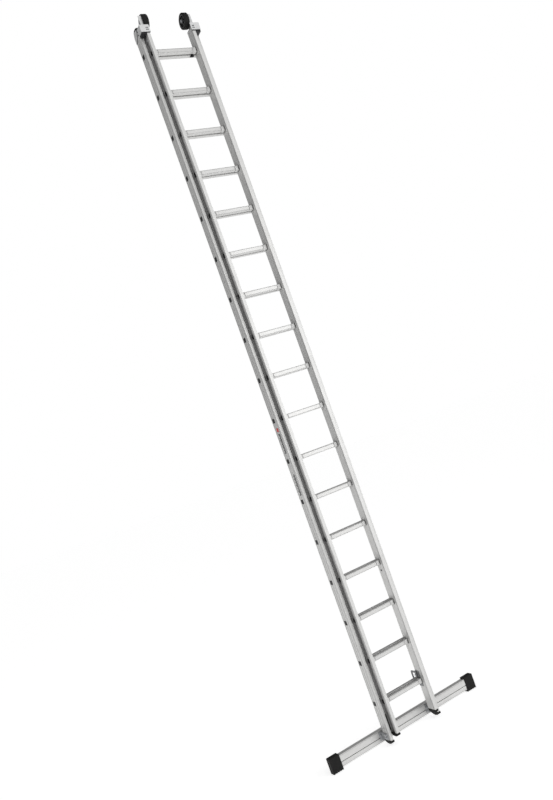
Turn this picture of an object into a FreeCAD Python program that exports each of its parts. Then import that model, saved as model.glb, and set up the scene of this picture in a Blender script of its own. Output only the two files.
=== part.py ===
import FreeCAD, Part
import Sketcher
import math
import os
import re

# Two-section push-up ladder, standing closed and upright.
# +X is the climber's right, +Y points at the wall, +Z runs up the stiles.
# The origin is under the middle of the whole ladder, on the ground. Millimetres.

SIZES = {
    "pitch": 280, "rungCount": 17, "firstRung": 287, "rungSide": 30, "rungWall": 2.2, "rungCorner": 4,
    "rungBack": 50, "treadGroove": 2, "treadStep": 7, "treadDeep": 0.8, "faceGroove": 2.5, "faceMiddle": 11,
    "faceDeep": 1.2, "holeFit": 0.05,
    "flyInner": 304, "flyWide": 22, "baseWide": 18, "railDeep": 77, "railWall": 1.5, "sideGap": 17,
    "flyFront": -91.5, "sectionStep": 44, "channelDeep": 10, "channelStart": 26, "channelEnd": 65.5,
    "channelSlope": 3, "trackDeep": 3, "trackStart": 14, "trackEnd": 28, "reveal": 1.5, "revealWide": 3,
    "flyLine": 8, "flyLineWide": 4,
    "baseBottom": 28, "baseTop": 4922, "flyBottom": 70, "flyTop": 4906,
    "footSole": 13, "footRise": 12, "footRound": 71, "baseFootSkin": 2.5, "flyFootSkin": 1.2, "footFit": 0.1,
    "footTread": 1.5, "footTreadWide": 3, "footTreadStep": 8, "plugTall": 4,
    "barBack": 150, "barHalf": 607, "barLow": 16, "barTall": 76, "barDeep": 38, "barWall": 2.5,
    "barGrooveLow": 29, "barGrooveHigh": 34, "barGrooveDeep": 7, "barLine": 6, "barLineWide": 2,
    "barLineDeep": 1.5, "barFootEnd": 620, "barFootStart": 543, "barFootTall": 102, "barFootSkin": 3,
    "soleLine": 20, "soleLineDeep": 1.5,
    "saddleLow": 28, "saddleTall": 57, "saddlePlate": 4, "saddleFlange": 16, "cheekDeep": 55,
    "boltRadius": 4, "boltHead": 7.5, "boltHeadTall": 5, "boltFit": 0.15,
    "guideLow": 4879, "guideTall": 48, "guidePlate": 3, "guideStand": 3, "guideTail": 12, "guideReach": 27,
    "linerGap": 1, "linerDrop": 4, "linerSideDrop": 14, "rivetRadius": 2.5, "rivetHead": 4.5,
    "rivetHeadTall": 2, "lipRivet": 2, "lipRivetHead": 3.2, "capRise": 33, "capSkin": 1.2, "coverPlate": 2.5,
    "wheelUp": 4975, "wheelBack": 50, "wheelRadius": 51, "wheelWide": 36, "wheelInset": 1.5,
    "tyreThick": 10, "rimThick": 6, "hubRadius": 14, "webThick": 6, "spokeCount": 6, "spokeThick": 4,
    "windowRadius": 7, "windowRing": 24.5, "axleRadius": 5, "axleFit": 0.06, "axleHead": 9, "nutTall": 6,
    "hangerLow": 4837, "hangerTop": 5004, "hangerPlate": 4, "hangerWide": 60, "hangerFlange": 18,
    "latchUp": 326, "latchBack": 71, "latchPlate": 5, "latchMount": 3, "latchGap": 0.3, "latchBoss": 11,
    "pinRadius": 4, "pinFit": 0.05, "pinHead": 7.5, "pinHeadTall": 3, "springWide": 5.5,
    "shoeLow": 95, "shoeTall": 110, "shoeStart": 60, "shoeDeep": 10, "shoeOut": 19,
    "clipWide": 22, "clipNeck": 12, "clipThick": 3, "clipAcross": 130, "stopRivetUp": 1069,
}

doc = FreeCAD.newDocument("ladder")
sheet = doc.addObject("Spreadsheet::Sheet", "Sizes")
for row, (alias, number) in enumerate(SIZES.items(), start=1):
    sheet.set(f"A{row}", alias)
    sheet.set(f"B{row}", str(number))
    sheet.setAlias(f"B{row}", alias)
doc.recompute()

pieces = {}


def bind(text):
    """An expression in sheet names, such as flyWide/2, with the sheet's own name put before each."""
    return re.sub(r"[A-Za-z]+", lambda m: "Sizes." + m.group(0) if m.group(0) in SIZES else m.group(0), text)


def value(text):
    """The number that an expression in sheet names has now."""
    return float(sheet.evalExpression(bind(text)))


def keep(label, thing):
    """Name a finished sub-part: its label is its node and file name."""
    thing.Label = label
    pieces[label] = thing
    return thing


def new_body(label):
    return keep(label, doc.addObject("PartDesign::Body", label))


def put(thing, across="0", back="0", up="0"):
    """Place an object at a point whose three coordinates are expressions."""
    for axis, text in zip("xyz", (across, back, up)):
        thing.setExpression(f"Placement.Base.{axis}", bind(text))


def sketch_on(body, role, offset="0"):
    """A new sketch on one of the body's own origin planes, moved along that plane's normal."""
    plane = next(f for f in body.Origin.OriginFeatures if f.Role == role)
    sketch = body.newObject("Sketcher::SketchObject", f"{body.Name}_outline")
    sketch.AttachmentSupport = [(plane, "")]
    sketch.MapMode = "FlatFace"
    sketch.setExpression("AttachmentOffset.Base.z", bind(offset))
    return sketch


def pin_point(sketch, edge, end, across, along):
    """Hold one end of an edge at two expressions measured from the sketch's origin."""
    for kind, text in (("DistanceX", across), ("DistanceY", along)):
        index = sketch.addConstraint(Sketcher.Constraint(kind, -1, 1, edge, end, value(text)))
        sketch.renameConstraint(index, f"{kind}{edge}")
        sketch.setExpression(f"Constraints.{kind}{edge}", bind(text))


def outline(sketch, points):
    """A closed straight-sided outline through points given as pairs of expressions."""
    first = sketch.GeometryCount
    spots = [FreeCAD.Vector(value(a), value(b), 0) for a, b in points]
    for here, there in zip(spots, spots[1:] + spots[:1]):
        sketch.addGeometry(Part.LineSegment(here, there), False)
    for step, (across, along) in enumerate(points):
        before = first + (step - 1) % len(points)
        sketch.addConstraint(Sketcher.Constraint("Coincident", before, 2, first + step, 1))
        pin_point(sketch, first + step, 1, across, along)


def rectangle(sketch, low_a, high_a, low_b, high_b):
    outline(sketch, [(low_a, low_b), (high_a, low_b), (high_a, high_b), (low_a, high_b)])


def rounded(sketch, low_a, high_a, low_b, high_b, corner):
    """A rectangle with four equal round corners, fully constrained."""
    first = sketch.GeometryCount
    left, right, low, high, bend = [value(text) for text in (low_a, high_a, low_b, high_b, corner)]
    centres = [(right - bend, low + bend), (right - bend, high - bend), (left + bend, high - bend),
               (left + bend, low + bend)]
    for turn, (a, b) in enumerate(centres):
        start = (turn - 1) * math.pi / 2
        circle = Part.Circle(FreeCAD.Vector(a, b, 0), FreeCAD.Vector(0, 0, 1), bend)
        sketch.addGeometry(Part.ArcOfCircle(circle, start, start + math.pi / 2), False)
    for turn in range(4):
        here = sketch.Geometry[first + turn].EndPoint
        there = sketch.Geometry[first + (turn + 1) % 4].StartPoint
        sketch.addGeometry(Part.LineSegment(here, there), False)
    for turn in range(4):
        line = first + 4 + turn
        sketch.addConstraint(Sketcher.Constraint("Tangent", first + turn, 2, line, 1))
        sketch.addConstraint(Sketcher.Constraint("Tangent", line, 2, first + (turn + 1) % 4, 1))
        if turn:
            sketch.addConstraint(Sketcher.Constraint("Equal", first, first + turn))
    sides = [("DistanceX", 4, high_a), ("DistanceY", 5, high_b), ("DistanceX", 6, low_a), ("DistanceY", 7, low_b)]
    for kind, step, text in sides:
        sketch.addConstraint(Sketcher.Constraint("Vertical" if kind == "DistanceX" else "Horizontal", first + step))
        index = sketch.addConstraint(Sketcher.Constraint(kind, -1, 1, first + step, 1, value(text)))
        sketch.renameConstraint(index, f"side{first + step}")
        sketch.setExpression(f"Constraints.side{first + step}", bind(text))
    index = sketch.addConstraint(Sketcher.Constraint("Radius", first, bend))
    sketch.renameConstraint(index, f"corner{first}")
    sketch.setExpression(f"Constraints.corner{first}", bind(corner))


def ring(sketch, across, along, radius):
    """A circle held at two expressions, with its radius bound."""
    edge = sketch.GeometryCount
    centre = FreeCAD.Vector(value(across), value(along), 0)
    sketch.addGeometry(Part.Circle(centre, FreeCAD.Vector(0, 0, 1), value(radius)), False)
    pin_point(sketch, edge, 3, across, along)
    index = sketch.addConstraint(Sketcher.Constraint("Radius", edge, value(radius)))
    sketch.renameConstraint(index, f"radius{edge}")
    sketch.setExpression(f"Constraints.radius{edge}", bind(radius))


def pad(body, sketch, length, both=False):
    feature = body.newObject("PartDesign::Pad", f"{body.Name}_pad")
    feature.Profile = sketch
    feature.Midplane = both
    feature.setExpression("Length", bind(length))
    body.Tip = feature
    return feature


def cut_through(body, sketch):
    """A pocket both ways through everything, checked to have removed material."""
    doc.recompute()
    before = body.Shape.Volume
    feature = body.newObject("PartDesign::Pocket", f"{body.Name}_cut")
    feature.Profile = sketch
    feature.Type = "ThroughAll"
    feature.Midplane = True
    body.Tip = feature
    doc.recompute()
    if body.Shape.Volume >= before - 1e-6:
        raise RuntimeError(f"{body.Label}: a cut removed nothing")
    return feature


def repeat_up(body, feature, length, count):
    """Repeat a feature along +Z."""
    axis = next(f for f in body.Origin.OriginFeatures if f.Role == "Z_Axis")
    pattern = body.newObject("PartDesign::LinearPattern", f"{body.Name}_row")
    pattern.Originals = [feature]
    pattern.Direction = (axis, [""])
    pattern.setExpression("Length", bind(length))
    pattern.setExpression("Occurrences", bind(count))
    body.Tip = pattern


def spin(body, sketch):
    """Revolve a half outline drawn on the XZ plane about the body's X axis."""
    axis = next(f for f in body.Origin.OriginFeatures if f.Role == "X_Axis")
    feature = body.newObject("PartDesign::Revolution", f"{body.Name}_spin")
    feature.Profile = sketch
    feature.ReferenceAxis = (axis, [""])
    feature.Angle = 360
    body.Tip = feature
    return feature


def block(name, low, size):
    """A Part box whose corner and three sizes are expressions."""
    box = doc.addObject("Part::Box", name)
    for prop, text in zip(("Length", "Width", "Height"), size):
        box.setExpression(prop, bind(text))
    put(box, *low)
    return box


def rod(name, start, radius, length, toward):
    """A cylinder from a point along +X, +Y or +Z."""
    thing = doc.addObject("Part::Cylinder", name)
    thing.setExpression("Radius", bind(radius))
    thing.setExpression("Height", bind(length))
    turns = {"x": ((0, 1, 0), 90), "y": ((1, 0, 0), -90), "z": ((0, 0, 1), 0)}
    axis, angle = turns[toward]
    thing.Placement.Rotation = FreeCAD.Rotation(FreeCAD.Vector(*axis), angle)
    put(thing, *start)
    return thing


def prism(name, start, sides, radius, length):
    """A regular prism from a point, standing along +Z until it is turned."""
    thing = doc.addObject("Part::Prism", name)
    thing.Polygon = sides
    thing.setExpression("Circumradius", bind(radius))
    thing.setExpression("Height", bind(length))
    put(thing, *start)
    return thing


def fastener(name, face, toward, sign, radius, length, head, head_tall, sides=0):
    """A bolt or rivet: its head stands on a face and its shank runs the other way, into the work."""
    spot = dict(zip("xyz", face))
    shank_at = dict(spot)
    head_at = dict(spot)
    if sign > 0:
        shank_at[toward] = f"{spot[toward]} - ({length})"
    else:
        head_at[toward] = f"{spot[toward]} - ({head_tall})"
    shank = rod(name + "_shank", tuple(shank_at.values()), radius, length, toward)
    if sides:
        top = prism(name + "_head", tuple(head_at.values()), sides, head, head_tall)
    else:
        top = rod(name + "_head", tuple(head_at.values()), head, head_tall, toward)
    top.Placement.Rotation = shank.Placement.Rotation
    whole = doc.addObject("Part::Fuse", name)
    whole.Base = shank
    whole.Tool = top
    return whole


def group(label, members):
    """Several separate solids of one kind, kept as one sub-part."""
    whole = keep(label, doc.addObject("Part::Compound", label))
    whole.Links = members
    return whole


def joined(label, members):
    whole = keep(label, doc.addObject("Part::MultiFuse", label))
    whole.Shapes = members
    return whole


def carved(label, base, tools):
    """A solid with other solids cut out of it."""
    for step, tool in enumerate(tools):
        whole = doc.addObject("Part::Cut", f"{label}_cut{step}")
        whole.Base = base
        whole.Tool = tool
        base = whole
    return keep(label, base)


BASE_FRONT = "(flyFront + sectionStep)"
BASE_BACK = "(flyFront + sectionStep + railDeep)"
BASE_INNER = "(flyInner/2 + flyWide + sideGap)"
BASE_OUTER = "(flyInner/2 + flyWide + sideGap + baseWide)"
FLY_INNER = "(flyInner/2)"
FLY_OUTER = "(flyInner/2 + flyWide)"
FLY_RUNG = "(flyFront + rungBack)"
BASE_RUNG = "(flyFront + sectionStep + rungBack)"
BAR_FRONT = "(flyFront + barBack)"
LAST_RUNG = "(firstRung + pitch*(rungCount - 1))"
HANGER_BOLTS = ("16", "50")
SADDLE_BOLT = f"{BASE_BACK} - cheekDeep/2"
SADDLE_BOLTS = ("24", "saddleTall - 14")
GUIDE_RIVET = f"{BASE_FRONT} + guideTail - 6"
GUIDE_RIVETS = ("12", "guideTall - 12")
HANDS = (("left", "-1"), ("right", "1"))


def over(hand, text):
    """An X expression on the left or right side of the ladder."""
    return f"{hand}*({text})"


def span(hand, near, far):
    """Low and high X expressions of a stretch measured outwards from the middle."""
    return (over(hand, near), over(hand, far)) if hand == "1" else (over(hand, far), over(hand, near))


# Stiles: hollow extrusions with three chambers, punched at every rung.
def stile_holes(body, centre, fit):
    """Rounded square holes for the rungs, and one row of them up the stile."""
    sketch = sketch_on(body, "YZ_Plane")
    half = f"(rungSide/2 + {fit})"
    rounded(sketch, f"{centre} - {half}", f"{centre} + {half}", f"firstRung - {half}", f"firstRung + {half}",
            "rungCorner")
    first = cut_through(body, sketch)
    repeat_up(body, first, "pitch*(rungCount - 1)", "rungCount")


def cross_holes(body, spots, radius):
    """Round holes along X through both walls at each (y, z)."""
    sketch = sketch_on(body, "YZ_Plane")
    for along, up in spots:
        ring(sketch, along, up, radius)
    cut_through(body, sketch)


def fly_stile(side, hand):
    body = new_body(f"fly_stile_{side}")
    sketch = sketch_on(body, "XY_Plane", "flyBottom")
    section = [("0", "0"), ("flyWide", "0"), ("flyWide", "channelStart - channelSlope"),
               ("flyWide - channelDeep", "channelStart"), ("flyWide - channelDeep", "channelEnd"),
               ("flyWide", "channelEnd"), ("flyWide", "railDeep"), ("0", "railDeep"),
               ("0", "flyLine + flyLineWide"), ("reveal", "flyLine + flyLineWide"), ("reveal", "flyLine"),
               ("0", "flyLine")]
    outline(sketch, [(over(hand, f"{FLY_INNER} + {a}"), f"flyFront + {b}") for a, b in section])
    chambers = [("railWall + reveal", "flyWide - railWall", "railWall", "channelStart - channelSlope - railWall"),
                ("railWall", "flyWide - channelDeep - railWall", "channelStart", "channelEnd"),
                ("railWall", "flyWide - railWall", "channelEnd + railWall", "railDeep - railWall")]
    for near, far, front, back in chambers:
        low, high = span(hand, f"{FLY_INNER} + {near}", f"{FLY_INNER} + {far}")
        rectangle(sketch, low, high, f"flyFront + {front}", f"flyFront + {back}")
    pad(body, sketch, "flyTop - flyBottom")
    stile_holes(body, FLY_RUNG, "holeFit")
    cross_holes(body, [("flyFront + latchBack", "latchUp")], "pinRadius + holeFit")
    bolts = [(FLY_RUNG, f"hangerLow + {up}") for up in HANGER_BOLTS] + [(FLY_RUNG, "stopRivetUp")]
    cross_holes(body, bolts, "boltRadius + boltFit")


def base_stile(side, hand):
    body = new_body(f"base_stile_{side}")
    sketch = sketch_on(body, "XY_Plane", "baseBottom")
    section = [("0", "0"), ("baseWide", "0")]
    for line in ("trackStart", "railDeep - 34", "railDeep - 12"):
        section += [("baseWide", line), ("baseWide - reveal", line),
                    ("baseWide - reveal", f"{line} + revealWide"), ("baseWide", f"{line} + revealWide")]
    section += [("baseWide", "railDeep"), ("0", "railDeep"), ("0", "trackEnd"), ("trackDeep", "trackEnd"),
                ("trackDeep", "trackStart"), ("0", "trackStart")]
    outline(sketch, [(over(hand, f"{BASE_INNER} + {a}"), f"{BASE_FRONT} + {b}") for a, b in section])
    far_wall = "baseWide - reveal - railWall"
    chambers = [("railWall", far_wall, "railWall", "trackStart - railWall"),
                ("trackDeep + railWall", far_wall, "trackStart", "trackEnd"),
                ("railWall", far_wall, "trackEnd + railWall", "railDeep - railWall")]
    for near, far, front, back in chambers:
        low, high = span(hand, f"{BASE_INNER} + {near}", f"{BASE_INNER} + {far}")
        rectangle(sketch, low, high, f"{BASE_FRONT} + {front}", f"{BASE_FRONT} + {back}")
    pad(body, sketch, "baseTop - baseBottom")
    stile_holes(body, BASE_RUNG, "holeFit")
    cross_holes(body, [(SADDLE_BOLT, f"saddleLow + {up}") for up in SADDLE_BOLTS], "boltRadius + boltFit")
    cross_holes(body, [(GUIDE_RIVET, f"guideLow + {up}") for up in GUIDE_RIVETS], "rivetRadius + boltFit")


for side, hand in HANDS:
    fly_stile(side, hand)
    base_stile(side, hand)


# Rungs: square tubes with three tread grooves along the top and two lines along the front and back.
def rung(name, half_length, back, up):
    body = doc.addObject("PartDesign::Body", name)
    sketch = sketch_on(body, "YZ_Plane")
    half = "rungSide/2"
    rounded(sketch, f"-{half}", half, f"-{half}", half, "rungCorner")
    rounded(sketch, f"rungWall - {half}", f"{half} - rungWall", f"rungWall - {half}", f"{half} - rungWall",
            "rungCorner - rungWall")
    pad(body, sketch, f"2*({half_length})", both=True)
    grooves = sketch_on(body, "YZ_Plane")
    for middle in ("-treadStep", "0", "treadStep"):
        rectangle(grooves, f"{middle} - treadGroove/2", f"{middle} + treadGroove/2", f"{half} - treadDeep",
                  f"{half} + 1")
    for middle in ("-faceMiddle", "faceMiddle"):
        low, high = f"{middle} - faceGroove/2", f"{middle} + faceGroove/2"
        rectangle(grooves, f"-{half} - 1", f"faceDeep - {half}", low, high)
        rectangle(grooves, f"{half} - faceDeep", f"{half} + 1", low, high)
    cut_through(body, grooves)
    put(body, "0", back, up)
    return body


for number in range(SIZES["rungCount"]):
    height = f"firstRung + {number}*pitch"
    keep(f"fly_rung_{number + 1:02d}",
         rung(f"fly_rung_{number + 1:02d}", f"{FLY_OUTER} - channelDeep", FLY_RUNG, height))
base_rungs = []
for number in range(SIZES["rungCount"]):
    base_rungs.append(rung(f"base_rung_{number + 1:02d}", BASE_OUTER, BASE_RUNG, f"firstRung + {number}*pitch"))
group("base_rungs", base_rungs)


# Rubber feet: a skirt round the stile over a sole that is rounded from front to back.
def foot(label, hand, inner, outer, front, bottom, skin):
    low, high = span(hand, f"{inner} - {skin}", f"{outer} + {skin}")
    wide = f"{outer} - {inner} + 2*{skin}"
    shell = block(label + "_shell", (low, f"{front} - {skin}", f"{bottom} - footSole"),
                  (wide, f"railDeep + 2*{skin}", "footSole + footRise"))
    sole = rod(label + "_sole", (low, f"{front} + railDeep/2", f"{bottom} - footSole + footRound"), "footRound",
               wide, "x")
    boat = doc.addObject("Part::Common", label + "_boat")
    boat.Base = shell
    boat.Tool = sole
    inside, outside = span(hand, f"{inner} - footFit", f"{outer} + footFit")
    socket = block(label + "_socket", (inside, f"{front} - footFit", bottom),
                   (f"{outer} - {inner} + 2*footFit", "railDeep + 2*footFit", "footRise + 1"))
    treads = []
    for step in (-1, 0, 1):
        place = (low, f"{front} + (railDeep - footTreadWide)/2 + {step}*footTreadStep", f"{bottom} - footSole - 1")
        treads.append(block(f"{label}_tread{step + 1}", place, (wide, "footTreadWide", "1 + footTread")))
    carved(label, boat, [socket] + treads)


for side, hand in HANDS:
    foot(f"base_foot_{side}", hand, BASE_INNER, BASE_OUTER, BASE_FRONT, "baseBottom", "baseFootSkin")
    foot(f"fly_foot_{side}", hand, FLY_INNER, FLY_OUTER, "flyFront", "flyBottom", "flyFootSkin")


# Plugs: moulded ends in the stile tops. The base's is tall and rounded, with a skin under its cover plate.
COVER_POINTS = [("18", "14"), ("58", "20"), ("72", "10"), ("77", "-8"), ("77", "-45"), ("70", "-45"), ("48", "-34"),
                ("34", "-20"), ("20", "0")]
SKIN_POINTS = [("15", "14"), ("58", "23"), ("74", "13"), ("80", "-8"), ("80", "-48"), ("69", "-48"), ("46", "-37"),
               ("31", "-22"), ("16", "-2")]


def cap_outline(points):
    return [(f"{BASE_FRONT} + {a}", f"baseTop + {b}") for a, b in points]


def base_cap(side, hand):
    body = new_body(f"base_cap_{side}")
    near, far = span(hand, BASE_INNER, BASE_OUTER)
    sketch = sketch_on(body, "YZ_Plane", near)
    outline(sketch, cap_outline([("0", "0"), ("railDeep + 3", "0"), ("railDeep + 3", "12"), ("72", "26"),
                                 ("56", "capRise"), ("30", "capRise - 1"), ("6", "22"), ("0", "14")]))
    pad(body, sketch, "baseWide")
    near, far = span(hand, BASE_OUTER, f"{BASE_OUTER} + capSkin")
    skin = sketch_on(body, "YZ_Plane", near)
    outline(skin, cap_outline(SKIN_POINTS))
    pad(body, skin, "capSkin")


def fly_plug(side, hand):
    low, high = span(hand, f"{FLY_INNER} + 0.5", f"{FLY_OUTER} - channelDeep")
    return block(f"fly_plug_{side}", (low, "flyFront + channelStart + 0.5", "flyTop"),
                 ("flyWide - channelDeep - 0.5", "railDeep - channelStart - 1", "plugTall"))


for side, hand in HANDS:
    base_cap(side, hand)
group("fly_end_plugs", [fly_plug(side, hand) for side, hand in HANDS])


def plate(label, points, start, thick):
    """A flat plate of a given outline on the YZ plane, standing between two X stations."""
    body = doc.addObject("PartDesign::Body", label)
    sketch = sketch_on(body, "YZ_Plane", start)
    outline(sketch, points)
    pad(body, sketch, thick)
    return body


def extruded(label, points, low, tall):
    """A folded or moulded profile drawn on the XY plane and run up by its height."""
    body = doc.addObject("PartDesign::Body", label)
    sketch = sketch_on(body, "XY_Plane", low)
    outline(sketch, points)
    pad(body, sketch, tall)
    return body


def front_holes(body, spots, radius):
    """Round holes along Y at each (x, z)."""
    sketch = sketch_on(body, "XZ_Plane")
    for across, up in spots:
        ring(sketch, across, up, radius)
    cut_through(body, sketch)


# Top guides: a folded plate riveted to the base stile wraps the fly stile, over a plastic liner.
LIP_RIVETS = [(f"{FLY_OUTER} - {inset}", f"guideLow + {up}") for inset in (14, 5) for up in (14, 27)]


def guide(side, hand):
    front = "(flyFront - guideStand)"
    reach = f"({FLY_OUTER} - guideReach)"
    close = f"({FLY_OUTER} + linerGap)"
    profile = [(reach, f"{front} - guidePlate"), (f"{BASE_OUTER} + guidePlate", f"{front} - guidePlate"),
               (f"{BASE_OUTER} + guidePlate", f"{BASE_FRONT} + guideTail"),
               (BASE_OUTER, f"{BASE_FRONT} + guideTail"), (BASE_OUTER, front), (reach, front)]
    bracket = keep(f"guide_bracket_{side}", extruded(
        f"guide_bracket_{side}", [(over(hand, a), b) for a, b in profile], "guideLow", "guideTall"))
    cross_holes(bracket, [(GUIDE_RIVET, f"guideLow + {up}") for up in GUIDE_RIVETS], "rivetRadius + boltFit")
    lips = [(over(hand, across), up) for across, up in LIP_RIVETS]
    front_holes(bracket, lips, "lipRivet + boltFit")
    profile = [(f"{reach} + 1", front), (BASE_OUTER, front), (BASE_OUTER, "flyFront - linerGap"),
               (f"{reach} + 1", "flyFront - linerGap")]
    lining = extruded(f"liner_front_{side}", [(over(hand, a), b) for a, b in profile], "guideLow - linerDrop",
                      "guideTall")
    front_holes(lining, lips, "lipRivet + boltFit")
    low, high = span(hand, close, BASE_OUTER)
    filler = block(f"liner_side_{side}", (low, front, "guideLow - linerSideDrop"),
                   (f"{BASE_OUTER} - {close}", f"{BASE_FRONT} - linerGap/2 - {front}",
                    "guideTall + linerSideDrop - linerDrop"))
    joined(f"guide_liner_{side}", [lining, filler])
    rivets = []
    for step, up in enumerate(GUIDE_RIVETS):
        face = (over(hand, f"{BASE_OUTER} + guidePlate"), GUIDE_RIVET, f"guideLow + {up}")
        rivets.append(fastener(f"side_rivet_{side}{step}", face, "x", int(hand), "rivetRadius", "guidePlate + 3",
                               "rivetHead", "rivetHeadTall"))
    for step, (across, up) in enumerate(lips):
        face = (across, f"{front} - guidePlate", up)
        rivets.append(fastener(f"lip_rivet_{side}{step}", face, "y", -1, "lipRivet",
                               "guidePlate + guideStand - linerGap", "lipRivetHead", "rivetHeadTall"))
    return rivets


group("guide_rivets", [rivet for side, hand in HANDS for rivet in guide(side, hand)])


# Cover plates over the skins of the base stiles' top plugs.
def cover_plate(side, hand):
    near, far = span(hand, f"{BASE_OUTER} + capSkin", f"{BASE_OUTER} + capSkin + coverPlate")
    return plate(f"cover_plate_{side}", cap_outline(COVER_POINTS), near, "coverPlate")


group("cap_cover_plates", [cover_plate(side, hand) for side, hand in HANDS])


# Stabiliser: a grooved hollow beam behind the base stiles, with saddles and rubber end feet.
def beam():
    body = new_body("stabiliser_beam")
    sketch = sketch_on(body, "YZ_Plane")
    section = [("0", "barTall"), ("0", "barTall - barLine + barLineWide"),
               ("barLineDeep", "barTall - barLine + barLineWide"), ("barLineDeep", "barTall - barLine"),
               ("0", "barTall - barLine"), ("0", "barGrooveHigh"), ("barGrooveDeep", "barGrooveHigh"),
               ("barGrooveDeep", "barGrooveLow"), ("1", "barGrooveLow"), ("1", "0"), ("barDeep", "0"),
               ("barDeep", "barTall")]
    outline(sketch, [(f"{BAR_FRONT} + {a}", f"barLow + {b}") for a, b in section])
    for low, high in (("barWall", "barGrooveLow - barWall"), ("barGrooveHigh + barWall", "barTall - barWall")):
        rectangle(sketch, f"{BAR_FRONT} + barWall + 1", f"{BAR_FRONT} + barDeep - barWall",
                  f"barLow + {low}", f"barLow + {high}")
    pad(body, sketch, "2*barHalf", both=True)
    doc.recompute()
    before = body.Shape.Volume
    holes = sketch_on(body, "XZ_Plane", f"-{BAR_FRONT}")
    for side, hand in HANDS:
        for across in BAR_BOLTS:
            ring(holes, over(hand, across), BAR_BOLT_UP, "boltRadius + boltFit")
    pocket = body.newObject("PartDesign::Pocket", "front_wall_holes")
    pocket.Profile = holes
    pocket.Length = 6
    body.Tip = pocket
    doc.recompute()
    if body.Shape.Volume >= before - 1:
        raise RuntimeError("the beam's bolt holes removed nothing")


SADDLE_INNER = f"{BASE_INNER} - saddlePlate"
SADDLE_OUTER = f"{BASE_OUTER} + saddlePlate"
BAR_BOLTS = (f"{SADDLE_INNER} - saddleFlange/2", f"{SADDLE_OUTER} + saddleFlange/2")
BAR_BOLT_UP = "(saddleLow + saddleTall/2 + 3)"
beam()


def beam_foot(side, hand):
    front = f"{BAR_FRONT} - barFootSkin"
    low, high = span(hand, "barFootStart", "barFootEnd")
    shell = block(f"beam_foot_shell_{side}", (low, front, "0"),
                  ("barFootEnd - barFootStart", "barDeep + 2*barFootSkin", "barFootTall"))
    inner, outer = span(hand, "barFootStart - 1", "barHalf + 0.1")
    socket = block(f"beam_foot_socket_{side}", (inner, f"{BAR_FRONT} - 0.1", "barLow - 0.1"),
                   ("barHalf - barFootStart + 1.1", "barDeep + 0.2", "barTall + 0.2"))
    slots = []
    for step, place in enumerate((f"{front} - 1", f"{BAR_FRONT} + barDeep + barFootSkin - soleLineDeep")):
        slots.append(block(f"sole_line_{side}{step}", (low, place, "soleLine"),
                           ("barFootEnd - barFootStart", "1 + soleLineDeep", "2")))
    near, far = span(hand, "barFootEnd - soleLineDeep", "barFootEnd + 1")
    slots.append(block(f"sole_line_{side}_end", (near, front, "soleLine"),
                       ("1 + soleLineDeep", "barDeep + 2*barFootSkin", "2")))
    for step in range(4):
        near, far = span(hand, f"barFootStart + 8 + {step}*17", f"barFootStart + 14 + {step}*17")
        slots.append(block(f"sole_tread_{side}{step}", (near, front, "-1"), ("6", "barDeep + 2*barFootSkin", "4")))
    carved(f"stabiliser_foot_{side}", shell, [socket] + slots)


def saddle(side, hand):
    back = f"({BAR_FRONT} - saddlePlate)"
    grip = f"({BASE_BACK} - cheekDeep)"
    profile = [(f"{SADDLE_INNER} - saddleFlange", BAR_FRONT), (f"{SADDLE_OUTER} + saddleFlange", BAR_FRONT),
               (f"{SADDLE_OUTER} + saddleFlange", back), (SADDLE_OUTER, back), (SADDLE_OUTER, grip),
               (BASE_OUTER, grip), (BASE_OUTER, back), (BASE_INNER, back), (BASE_INNER, grip),
               (SADDLE_INNER, grip), (SADDLE_INNER, back), (f"{SADDLE_INNER} - saddleFlange", back)]
    bracket = keep(f"stabiliser_bracket_{side}", extruded(
        f"stabiliser_bracket_{side}", [(over(hand, a), b) for a, b in profile], "saddleLow", "saddleTall"))
    cross_holes(bracket, [(SADDLE_BOLT, f"saddleLow + {up}") for up in SADDLE_BOLTS], "boltRadius + boltFit")
    front_holes(bracket, [(over(hand, across), BAR_BOLT_UP) for across in BAR_BOLTS], "boltRadius + boltFit")
    notch = sketch_on(bracket, "YZ_Plane")
    rectangle(notch, f"{grip} - 1", f"{BASE_BACK} + baseFootSkin + 1", "saddleLow - 1", "baseBottom + footRise + 1")
    cut_through(bracket, notch)
    bolts = []
    for step, up in enumerate(SADDLE_BOLTS):
        face = (over(hand, SADDLE_OUTER), SADDLE_BOLT, f"saddleLow + {up}")
        bolts.append(fastener(f"stile_bolt_{side}{step}", face, "x", int(hand), "boltRadius",
                              "baseWide + 2*saddlePlate + 3", "boltHead", "boltHeadTall", 6))
    for step, across in enumerate(BAR_BOLTS):
        face = (over(hand, across), back, BAR_BOLT_UP)
        bolts.append(fastener(f"bar_bolt_{side}{step}", face, "y", -1, "boltRadius", "saddlePlate + barWall + 7",
                              "boltHead", "boltHeadTall", 6))
    return bolts


for side, hand in HANDS:
    beam_foot(side, hand)
group("stabiliser_bolts", [bolt for side, hand in HANDS for bolt in saddle(side, hand)])


# Wall wheels: a plate in each fly stile's outer channel carries a spoked wheel on a bolt.
HANGER_INNER = f"({FLY_OUTER} - channelDeep)"
HANGER_OUTER = f"({FLY_OUTER} - channelDeep + hangerPlate)"
WHEEL_OUTER = f"({HANGER_INNER} - wheelInset)"
WHEEL_MIDDLE = f"({HANGER_INNER} - wheelInset - wheelWide/2)"
AXLE_BACK = "(flyFront + wheelBack)"
SHOULDER = "(guideLow + guideTall + 5)"


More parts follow.
